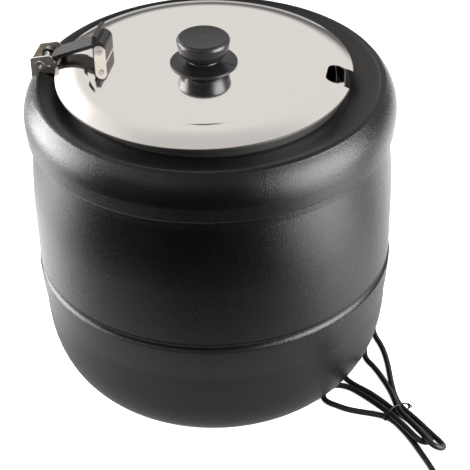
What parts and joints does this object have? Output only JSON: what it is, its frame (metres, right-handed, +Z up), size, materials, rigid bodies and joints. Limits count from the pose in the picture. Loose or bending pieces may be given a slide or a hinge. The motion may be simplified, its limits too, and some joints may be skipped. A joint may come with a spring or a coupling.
{
  "type": "soup kettle",
  "caption": "Round black electric soup kettle with a hinged polished lid, ladle notch, lift-out pot, water well, heater, dial and a tied mains cord.",
  "frame": {"origin": "centre of the footprint, on the table", "axes": "+Z up, -X towards the lid hinge, +X towards the ladle notch"},
  "size_m": [0.5475, 0.438, 0.3574],
  "materials": {
    "black_coat": "fine textured powder coat",
    "polished_steel": "polished stainless steel",
    "plain_steel": "plain steel",
    "black_phenolic": "gloss moulded",
    "black_enamel": "satin enamel",
    "black_plastic": "fine moulded",
    "white_plastic": "moulded",
    "cord_pvc": "smooth",
    "rubber": "matt",
    "silicone": "matt",
    "aluminium": "cast",
    "brass": "turned",
    "red_lens": "clear red",
    "tie_plastic": "coated wire"
  },
  "bodies": {
    "kettle": {"top_collar": "black_coat", "body_wall": "black_coat", "base_bowl": "black_coat", "base_plate": "plain_steel", "base_plate_screws": "plain_steel", "feet": "rubber", "foot_screws": "plain_steel", "water_well": "plain_steel", "well_gasket": "silicone", "hinge_bracket": "polished_steel", "bracket_screws": "plain_steel", "hinge_rivets": "plain_steel", "stop_pin": "plain_steel", "heater_plate": "aluminium", "heating_element": "plain_steel", "heater_clamp": "plain_steel", "heater_stud": "plain_steel", "heater_nut": "plain_steel", "thermal_cutout": "plain_steel", "thermostat_bulb": "plain_steel", "thermostat": "plain_steel", "thermostat_nut": "plain_steel", "control_panel": "black_plastic", "control_panel_screws": "plain_steel", "pilot_lamp": "white_plastic", "pilot_lens": "red_lens", "terminal_block": "white_plastic", "terminal_screws": "brass", "earth_screw": "brass", "cord_gland": "black_plastic", "gland_nut": "black_plastic", "cord_lead": "cord_pvc", "cord_hank": "cord_pvc", "cord_tail": "cord_pvc", "twist_tie": "tie_plastic", "plug_body": "cord_pvc", "plug_pins": "plain_steel"},
    "lid_assembly": {"lid": "polished_steel", "knob": "black_phenolic", "knob_skirt": "black_phenolic", "knob_insert": "brass", "knob_screw": "plain_steel", "knob_washer": "plain_steel", "hinge_arm": "black_enamel", "lid_bracket": "polished_steel", "lid_pin": "plain_steel", "lid_bracket_rivets": "plain_steel"},
    "dial_knob": {"dial": "black_phenolic", "dial_spindle": "plain_steel"},
    "pot": {"soup_pot": "polished_steel"}
  },
  "joints": [
    {"name": "lid_hinge", "type": "hinge", "parent": "kettle", "child": "lid_assembly", "pos_m": [-0.1565, 0, 0.3226], "axis": [0, -1, 0], "range_deg": [0, 100]},
    {"name": "dial_turn", "type": "hinge", "parent": "kettle", "child": "dial_knob", "pos_m": [-0.12198, 0.12198, 0.055], "axis": [-0.7071, 0.7071, 0], "range_deg": [0, 270]},
    {"name": "pot_turn", "type": "hinge", "parent": "kettle", "child": "pot", "pos_m": [0, 0, 0.311], "axis": [0, 0, 1], "continuous": true}
  ]
}
